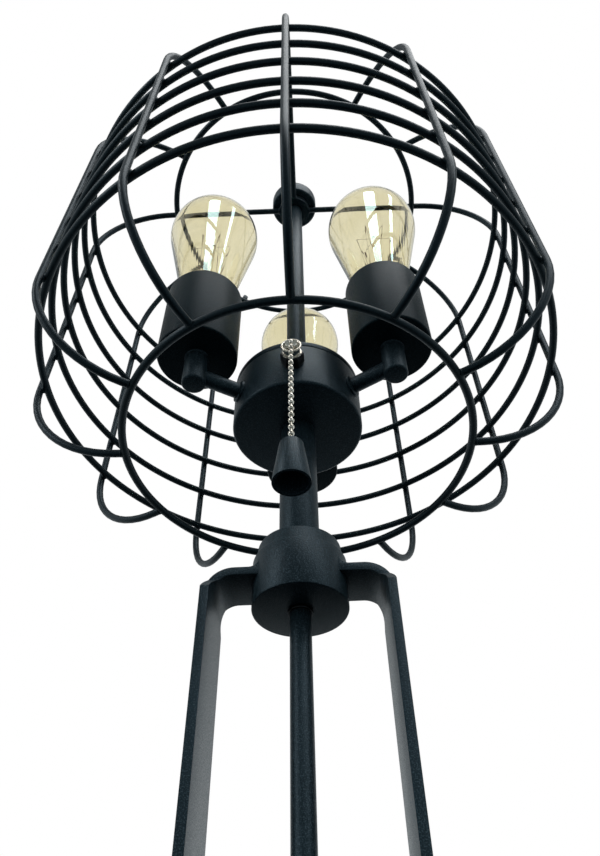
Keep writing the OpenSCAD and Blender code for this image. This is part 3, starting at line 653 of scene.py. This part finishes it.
def rolledCap(name, low, high, size):
    # one turn of the rolled thread, wound up by the screw modifier, between a plain band and a tucked foot
    pitch, deep, turns = bulb["thread"], bulb["threadDeep"], bulb["threadTurns"]
    start = low + bulb["tuck"]
    wave = [(size - deep * (0.5 + 0.5 * math.cos(math.tau * i / 12)), start + pitch * i / 12)
            for i in range(13)]
    points = [Vector((mm(r), 0, mm(z))) for r, z in wave]
    thread = startPoint(name, points[0])
    drawOutline(points)
    bpy.ops.object.mode_set(mode="OBJECT")
    wind = thread.modifiers.new("wind", "SCREW")
    wind.axis = "Z"
    wind.angle = math.tau
    wind.screw_offset = mm(pitch)
    wind.iterations = turns - 1
    wind.steps = wind.render_steps = 48
    wind.use_merge_vertices = True
    wind.merge_threshold = mm(0.01)
    bpy.ops.object.modifier_apply(modifier="wind")
    bpy.ops.object.mode_set(mode="EDIT")
    closeUp()
    bpy.ops.object.shade_smooth()
    core = size - deep
    end = start + pitch * turns
    band = turned(name + "Band", [
        (core - 0.4, high - 2.5), (core + 0.05, end - 1), (size - 0.2, high - 2.2), (size, high - 1.6),
        (size, high - 0.2), (size - 0.5, high), (size - 0.9, high - 0.4)], 0.1, 48)
    tip = bulb["foot"]
    foot = turned(name + "Foot", [
        (tip - 0.4, low), (tip, low), (core - 0.6, start - 0.6), (core + 0.05, start + 1.2),
        (core + 0.05, end)], 0.1, 48)
    return joined([thread, band, foot], name)


def makeBulbs():
    capLow = inMm(bottom("bulb_cap_back"))
    capTop = inMm(top("bulb_cap_back"))
    capSize = inMm(span("bulb_cap_back", 0)) / 2
    crest = inMm(top("bulb_glass_back"))
    globe = inMm(span("bulb_glass_back", 0)) / 2
    outer = glassLine(0, capTop, crest, globe)
    inner = glassLine(bulb["wall"], capTop, crest, globe)
    glass = turned("bulbGlass", outer + inner[::-1] + outer[:1], 0, 72)
    bpy.ops.object.shade_smooth()
    cap = rolledCap("bulbCap", capLow, capTop, capSize)
    seal = capTop - bulb["seat"]
    rod = bulb["rod"]
    lowHooks = capTop + bulb["lowHooks"]
    topHooks = lowHooks + bulb["strandLong"]
    flare = bulb["root"] - bulb["wall"] - 0.1
    stemLine = [(0, seal + 1), (flare, seal + 0.2), (flare, seal + 1.2), (7.5, capTop - 1),
                (4.6, capTop + 4), (3.6, capTop + 12), (3.4, lowHooks - 9), (2.6, lowHooks - 6),
                (rod, lowHooks - 4), (rod, topHooks + 1), (rod * 0.7, topHooks + rod),
                (0, topHooks + rod * 1.1)]
    stem = turned("bulbStem", stemLine, 0, 32)
    bpy.ops.object.shade_smooth()
    strands = makeStrands(lowHooks, topHooks)
    pieces = {
        "bulbGlass": (glass, amberGlass, "bulb_glass_"), "bulbCap": (cap, brass, "bulb_cap_"),
        "bulbStem": (stem, clearGlass, "bulb_mount_"), "bulbStrands": (strands, carbon, "bulb_mount_"),
    }
    for side, angle in holders.items():
        for name, (piece, material, node) in pieces.items():
            placed = put(twin(piece, name + side.title()), holderPlace(side), turn=angle)
            coated(placed, material, "bulb_" + side, node + side)
    drop(glass, cap, stem, strands)


def wireBetween(start, end, size, sides=6):
    # a short straight wire, in millimetres
    start, end = mm(Vector(start)), mm(Vector(end))
    bpy.ops.object.select_all(action="DESELECT")
    bpy.ops.mesh.primitive_cylinder_add(vertices=sides, radius=mm(size), depth=(end - start).length)
    wire = bpy.context.object
    turn = (end - start).to_track_quat("Z", "Y").to_matrix().to_4x4()
    wire.matrix_world = Matrix.Translation((start + end) / 2) @ turn
    bpy.ops.object.transform_apply(location=True, rotation=True)
    return wire


def onRing(size, angle, height):
    return (size * math.cos(angle), size * math.sin(angle), height)


def makeStrands(lowHooks, topHooks):
    # a zigzag: from each low hook up to the high one half a step on, and down to the next low one
    wires = []
    count = bulb["strands"]
    for i in range(count):
        a = math.tau * i / count
        b = math.tau * (i + 0.5) / count
        low = onRing(bulb["lowRing"], a, lowHooks)
        high = onRing(bulb["topRing"], b, topHooks)
        onward = onRing(bulb["lowRing"], a + math.tau / count, lowHooks)
        wires.append(wireBetween((0, 0, lowHooks - 1), low, bulb["hookSize"]))
        wires.append(wireBetween((0, 0, topHooks), high, bulb["hookSize"]))
        wires.append(wireBetween(low, high, bulb["strandSize"]))
        if i < count - 1:
            wires.append(wireBetween(high, onward, bulb["strandSize"]))
    return joined(wires, "bulbStrands")


makeBulbs()


# Pull switch: hexagon nut, trumpet mouth, ball chain and the hollow cone
pull = {
    "nut": 13.6, "nutLong": 6.5,                                   # across its corners, and along
    "mouth": 11.8, "foot": 10.6, "mouthLong": 5.8, "way": 4.6,     # the bell mouth, and the chain's way
    "bead": 3.2, "pitch": 4.6, "wire": 0.9,
    "hanging": 18, "inside": 2,                                    # beads under the mouth, and beads in it
    "coneTop": 11.8, "coneWall": 1.4, "coneRoof": 0.9, "coneEdge": 1.8, "coneHole": 0.6,
}


def makeSwitch():
    wall = inMm(radius("cluster_body"))
    nutThick = pull["nutLong"]
    bpy.ops.object.select_all(action="DESELECT")
    bpy.ops.mesh.primitive_cylinder_add(vertices=6, radius=mm(pull["nut"] / 2), depth=mm(nutThick),
                                        location=(0, 0, mm(wall + nutThick / 2)))
    nut = bpy.context.object
    nut.name = "switchNut"
    bpy.ops.object.transform_apply(location=True)
    soften(nut, 0.45)
    coated(put(nut, (0, 0, switchHeight), 90, switchTurn), darkSteel, "lamp", "switch_nut")
    rim, foot, way = pull["mouth"] / 2, pull["foot"] / 2, pull["way"] / 2
    start = wall + nutThick
    long = pull["mouthLong"]
    outline = [(way, start), (foot + 0.3, start), (foot + 0.3, start + 0.8), (foot - 0.5, start + 1.1)]
    for i in range(1, 7):           # the bell flares
        outline.append((foot - 0.5 + (rim - foot + 0.2) * (i / 6) ** 2, start + 1.2 + (long - 2.0) * i / 6))
    outline += bend((rim - 0.7, start + long - 0.7), 0.7, 0, 180, 8)
    for i in range(1, 7):           # and narrows inside
        outline.append((way + (rim - 1.4 - way) * ((6 - i) / 6) ** 2,
                        start + long - 0.9 - (long - 1.6) * i / 6))
    outline += [(way, start)]
    mouth = turned("switchMouth", outline, 0, 56)
    coated(put(mouth, (0, 0, switchHeight), 90, switchTurn), nickel, "lamp", "switch_mouth")


def makeBead():
    bpy.ops.object.select_all(action="DESELECT")
    bpy.ops.mesh.primitive_uv_sphere_add(segments=20, ring_count=12, radius=mm(pull["bead"] / 2))
    bpy.ops.object.shade_smooth()
    return bpy.context.object


def makeChain():
    pitch, wire = mm(pull["pitch"]), pull["wire"] / 2
    bead = makeBead()
    inward = -Vector((chainPlace.x, chainPlace.y, 0)).normalized() * pitch
    head = [put(twin(bead, "bead"), chainPlace + inward * i) for i in range(pull["inside"] + 1)]
    back = chainPlace + inward * pull["inside"]
    head.append(wireBetween(inMm(chainPlace), inMm(back), wire, 10))
    coated(joined(head, "chainHead"), nickel, "chain_swivel", "chain_head")
    down = Vector((0, 0, -pitch))
    hanging = [put(twin(bead, "bead"), chainPlace + down * i) for i in range(1, pull["hanging"] + 1)]
    last = chainPlace + down * pull["hanging"]
    hanging.append(wireBetween(inMm(chainPlace), inMm(last), wire, 10))
    drop(bead)
    # the hanging beads and their wire, joined into one piece that no body carries
    chain = coated(joined(hanging, "hangingChain"), nickel, None, "pull_chain")
    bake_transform(chain)


def makePull():
    low = inMm(bottom("pull_cone"))
    high = inMm(top("pull_cone"))
    wide = inMm(span("pull_cone", 0)) / 2
    slim = pull["coneTop"] / 2
    edge = pull["coneEdge"]
    thick = pull["coneWall"]
    outline = [(wide - thick, low), (wide, low)] + bend((slim - edge, high - edge), edge, 8, 90, 6)
    hole, roof = pull["coneHole"], high - pull["coneRoof"]
    outline += [(hole, high), (hole, roof), (slim - thick, roof), (wide - thick, low)]
    cone = turned("pullCone", outline, 0.2, 64)
    coated(put(cone, (chainPlace.x, chainPlace.y, 0)), coneCoat, "pull", "pull_cone")


makeSwitch()
makeChain()
makePull()


# Stem, collar, ferrule, rod, flat bars and base
stand = {
    "hidden": 8, "tubeWall": 1.5,             # length of the stem left out inside the collar, and its wall
    "neck": 20.4, "shoulder": 8.2,            # radius and height of the collar's upper step
    "barThick": 4, "barOut": 43.5, "bend": 9.4, "footBend": 5, "weld": 4,
    "armWide": 25.4, "corner": 0.9,           # the bar narrows to its arm just over the collar's foot
    "cut": 120,                               # the tool that trims the bar
    "screwHead": 9, "screwHigh": 2.8, "screwDome": 2.2, "screwPitch": 24, "socket": 2.2,
    "plateEdge": 3,
}


def makeStem():
    size = inMm(radius("stem_tube"))
    inner = size - stand["tubeWall"]
    low = inMm(bottom("stem_tube")) + stand["hidden"]
    body = inMm(bottom("cluster_body")) + 0.05
    outline = [(inner, low), (size, low), (size, body), (inner, body), (inner, low)]
    coated(turned("stemTube", outline, 0.15, 64), blackCoat, "lamp", "stem_tube")
    low, high = inMm(bottom("leg_collar")), inMm(top("leg_collar"))
    wide, neck = inMm(radius("leg_collar")), stand["neck"]
    shoulder = high - stand["shoulder"]
    outline = [(5, low + 0.1), (wide, low), (wide, shoulder), (neck, shoulder), (neck, high),
               (size, high), (size - 0.5, high - 1)]
    coated(turned("legCollar", outline, 0.7, 96), blackCoat, "lamp", "leg_collar")
    rod = inMm(radius("lower_rod"))
    inner = rod - 0.3
    ferrule = inMm(radius("rod_ferrule"))
    foot = inMm(bottom("rod_ferrule"))
    outline = [(inner, foot), (ferrule, foot), (ferrule, low), (inner, low), (inner, foot)]
    coated(turned("rodFerrule", outline, 0.4, 48), darkSteel, "lamp", "rod_ferrule")
    plate = inMm(top("base_plate"))
    outline = [(0, plate - 1), (rod, plate - 1), (rod, low + 1), (0, low + 1)]
    coated(turned("lowerRod", outline, 0.1, 48), blackCoat, "lamp", "lower_rod")


def carved(piece, tool, operation):
    bpy.context.view_layer.objects.active = piece
    cut = piece.modifiers.new("cut", "BOOLEAN")
    cut.operation = operation
    cut.object = tool
    bpy.ops.object.modifier_apply(modifier="cut")
    bpy.data.objects.remove(tool)


def makeLegs():
    low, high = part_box("leg_right")
    inner, outer = inMm(low.x), inMm(high.x)
    foot, crest = inMm(low.z), inMm(high.z) - stand["weld"]
    half = inMm(span("leg_right", 1)) / 2
    slim = stand["armWide"] / 2
    thick, out = stand["barThick"], stand["barOut"]
    inBend = (out - thick - stand["bend"], crest - thick - stand["bend"])
    footBend = (out + stand["footBend"], foot + thick + stand["footBend"])
    side = [(inner, crest - thick), (inner, crest)] + bend(inBend, stand["bend"] + thick, 90, 0, 14)
    side += bend(footBend, stand["footBend"], 180, 270, 8)
    side += [(outer, foot + thick), (outer, foot)]
    side += bend(footBend, stand["footBend"] + thick, 270, 180, 8) + bend(inBend, stand["bend"], 0, 90, 14)
    corner = inMm(bottom("leg_collar")) + stand["corner"]
    end = [(half, 0), (half, corner), (slim, corner + half - slim), (slim, crest + 20)]
    end += [(-y, z) for y, z in end[::-1]]
    start, size = inMm(radius("leg_collar")) + 0.05, stand["weld"]
    weld = [(start, crest - 0.5), (start + size, crest - 0.5)]
    weld += bend((start + size, crest + size), size, 270, 180, 10)
    leg = barred("leg", side + side[:1], 2 * half, 0)
    carved(leg, turned("legWeld", weld + weld[:1], 0, 120), "UNION")
    cutter = barred("legEnd", end + end[:1], stand["cut"], 0)
    carved(leg, put(cutter, (mm(stand["cut"] / 2 + 1), 0, 0), turn=90), "INTERSECT")
    soften(leg, 0.45)
    for name, turn in (("Right", 0), ("Left", 180)):
        coated(put(twin(leg, "leg" + name), turn=turn), blackCoat, "lamp", "leg_" + name.lower())
    drop(leg)
    return foot + thick


def makeScrews(level):
    size, socket, dome = stand["screwHead"] / 2, stand["socket"], stand["screwDome"]
    crest = level + stand["screwHigh"]
    outline = [(0, level), (size, level), (size, level + 0.6)]
    outline += bend((size - dome, crest - dome), dome, 10, 90, 6)
    outline += [(socket, crest), (socket * 0.9, crest - 1.4), (0, crest - 1.6)]
    head = turned("screwHead", outline, 0.1, 36)
    place = inMm(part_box("foot_screws")[1].x) - size
    spots = [(x, y) for x in (-place, place) for y in (-stand["screwPitch"] / 2, stand["screwPitch"] / 2)]
    heads = [put(twin(head, "head"), (mm(x), mm(y), 0)) for x, y in spots]
    drop(head)
    coated(joined(heads, "footScrews"), darkSteel, "lamp", "foot_screws")


def makeBase():
    size = inMm(radius("base_plate"))
    low, high = inMm(bottom("base_plate")), inMm(top("base_plate"))
    edge = stand["plateEdge"]
    outline = [(0, low), (size - 0.6, low), (size, low + 0.6)]
    outline += bend((size - edge, high - edge), edge, 0, 90, 8) + [(0, high)]
    coated(turned("basePlate", outline, 0, 144), blackCoat, "lamp", "base_plate")


makeStem()
makeScrews(makeLegs())
makeBase()


# Stage: a floor that looks pale and lights the lamp as a dark one, and a white surround
stage = {
    "floor": 4,                             # radius in metres
    "paper": ("dcdbd8", "e2e1de"),          # as the camera sees the floor
    "darkPaper": "3c4043",                  # as it lights the lamp
    "white": (1, 1, 1, 1),
    "glowTint": (0.86, 0.97, 1.0, 1),       # the floor in reflections
    "airTint": (0.92, 0.98, 1.0, 1),        # the surround in reflections
    "softTint": (0.93, 0.97, 1.0, 1),       # the surround as it lights the lamp
    "soft": 0.55,
    # by the distance from the lamp's foot: the floor's glow in reflections, with a painted shadow of the
    # lamp (dark within 0.33 m of its foot), and its fade into the surround
    "floorGlowAndPaintedShadow": {"From Min": 0.33, "From Max": 0.4, "To Min": 0.05, "To Max": 0.4},
    "fade": {"From Min": 0.5, "From Max": 2.2, "To Min": 0.0, "To Max": 1.0},
    # in reflections the surround is darker behind the camera, by the direction's Y, and above, by its Z
    "behind": {"From Min": -0.9, "From Max": 0.2, "To Min": 0.33, "To Max": 1.0},
    "above": {"From Min": 0.2, "From Max": 0.65, "To Min": 1.0, "To Max": 0.5},
}


def makeStage():
    # studio paper: its own pale colour where it is seen, straight or through glass
    bpy.ops.object.select_all(action="DESELECT")
    bpy.ops.mesh.primitive_circle_add(vertices=96, radius=stage["floor"], fill_type="NGON")
    floor = bpy.context.object
    floor.name = "paleFloor"
    material, tree, where = newMaterial("paleStudioFloor")
    paper = addNode(tree, "TexNoise", {"Vector": where}, Scale=lumps(12), Detail=2.0)
    tone = addNode(tree, "ValToRGB", {"Fac": paper.outputs["Fac"]},
                   [(0.3, stage["paper"][0]), (0.7, stage["paper"][1])])
    pale = addNode(tree, "BsdfDiffuse", {"Color": tone.outputs["Color"]})
    dark = addNode(tree, "BsdfDiffuse", Color=hexColor(stage["darkPaper"]))
    away = addNode(tree, "VectorMath", {0: where}, operation="LENGTH")
    # the floor in reflections glows, painted dark within 0.33 m of the lamp's foot as a painted shadow of
    # the lamp
    clear = addNode(tree, "MapRange", {"Value": away.outputs["Value"]}, **stage["floorGlowAndPaintedShadow"])
    fade = addNode(tree, "MapRange", {"Value": away.outputs["Value"]}, interpolation_type="SMOOTHSTEP",
                   **stage["fade"])
    floorGlowAndPaintedShadow = addNode(tree, "Emission", {"Strength": clear.outputs["Result"]}, Color=stage["glowTint"])
    white = addNode(tree, "Emission", Color=stage["white"], Strength=1.0)
    path = addNode(tree, "LightPath")
    seen = addNode(tree, "Math", {0: path.outputs["Is Camera Ray"], 1: path.outputs["Is Transmission Ray"]},
                   operation="MAXIMUM")
    shown = addNode(tree, "MixShader", {
        0: fade.outputs["Result"], 1: pale.outputs["BSDF"], 2: white.outputs[0]})
    unseen = addNode(tree, "MixShader", {
        0: path.outputs["Is Glossy Ray"], 1: dark.outputs["BSDF"], 2: floorGlowAndPaintedShadow.outputs[0]})
    shader = addNode(tree, "MixShader", {0: seen.outputs[0], 1: unseen.outputs[0], 2: shown.outputs[0]})
    floor.data.materials.append(finishMaterial(material, tree, shader.outputs["Shader"]))


def makeWorld():
    # white where it is seen, straight or through glass
    world = bpy.data.worlds.new("studioAir")
    bpy.context.scene.world = world
    world.use_nodes = True
    tree = world.node_tree
    tree.nodes.clear()
    way = addNode(tree, "SeparateXYZ", {0: addNode(tree, "TexCoord").outputs["Generated"]})
    behind = addNode(tree, "MapRange", {"Value": way.outputs["Y"]}, **stage["behind"])
    above = addNode(tree, "MapRange", {"Value": way.outputs["Z"]}, **stage["above"])
    room = addNode(tree, "Math", {0: behind.outputs["Result"], 1: above.outputs["Result"]},
                   operation="MULTIPLY")
    white = addNode(tree, "Background", Color=stage["white"], Strength=1.0)
    mirrored = addNode(tree, "Background", {"Strength": room.outputs[0]}, Color=stage["airTint"])
    soft = addNode(tree, "Background", Color=stage["softTint"], Strength=stage["soft"])
    path = addNode(tree, "LightPath")
    seen = addNode(tree, "Math", {0: path.outputs["Is Camera Ray"], 1: path.outputs["Is Transmission Ray"]},
                   operation="MAXIMUM")
    unseen = addNode(tree, "MixShader", {
        0: path.outputs["Is Glossy Ray"], 1: soft.outputs[0], 2: mirrored.outputs[0]})
    shader = addNode(tree, "MixShader", {0: seen.outputs[0], 1: unseen.outputs[0], 2: white.outputs[0]})
    addNode(tree, "OutputWorld", {"Surface": shader.outputs[0]})


# Soft studio lamps; they leave out the bulbs' glass, which would mirror them as bare rectangles
lamps = {
    "overheadSoftbox": {"place": (0.5, -0.9, 2.2), "aim": (0, 0, 0.5), "size": (1.6, 1.6), "watts": 26},
    "leftWindow": {"place": (-1.5, -0.9, 1.1), "aim": (0, 0, 0.5), "size": (0.25, 1.6), "watts": 10},
    "rightWindow": {"place": (1.4, -1.1, 1.3), "aim": (0, 0, 0.5), "size": (0.12, 1.4), "watts": 5},
}

# Strips that light the bulbs' glass alone, for the two tall reflections of the portrait: one box in front
# and one to the right, each with its foot on the floor, which is spun round the vertical
strips = {
    "frontStrip": {"place": (0.02, -1.05, 1.15), "aim": (0.02, 0, 1.15), "size": (0.44, 2.3), "watts": 39},
    "frontStripFoot": {"place": (-0.03, -0.7, 0.004), "spin": 0, "size": (0.29, 0.7), "watts": 8},
    "sideStrip": {"place": (1.02, -1.0, 1.2), "aim": (0, 0, 1.2), "size": (0.17, 2.2), "watts": 17},
    "sideStripFoot": {"place": (0.64, -0.55, 0.004), "spin": -40, "size": (0.17, 1.2), "watts": 9.4},
}
stripTint = (0.7, 1.0, 0.97)


def makeLamps():
    glassOnly = bpy.data.collections.new("glassOnly")
    noGlass = bpy.data.collections.new("noGlass")
    for side in holders:
        for group in (glassOnly, noGlass):
            group.objects.link(bpy.data.objects["bulbGlass" + side.title()])
    for member in noGlass.collection_objects:
        member.light_linking.link_state = "EXCLUDE"
    for name, lamp in {**lamps, **strips}.items():
        bpy.ops.object.light_add(type="AREA", location=lamp["place"])
        light = bpy.context.object
        light.name = name
        light.data.shape = "RECTANGLE"
        light.data.size, light.data.size_y = lamp["size"]
        light.data.energy = lamp["watts"]
        if "spin" in lamp:
            light.rotation_euler = (math.pi, 0, math.radians(lamp["spin"]))
        else:
            aim = Vector(lamp["aim"]) - Vector(lamp["place"])
            light.rotation_euler = aim.to_track_quat("-Z", "Y").to_euler()
        light.light_linking.receiver_collection = glassOnly if name in strips else noGlass
        if name in strips:
            light.data.color = stripTint
            light.visible_camera = False           # it isn't seen, straight or through glass
            light.visible_transmission = False


makeStage()
makeWorld()
makeLamps()
bpy.context.scene.view_settings.view_transform = "Standard"
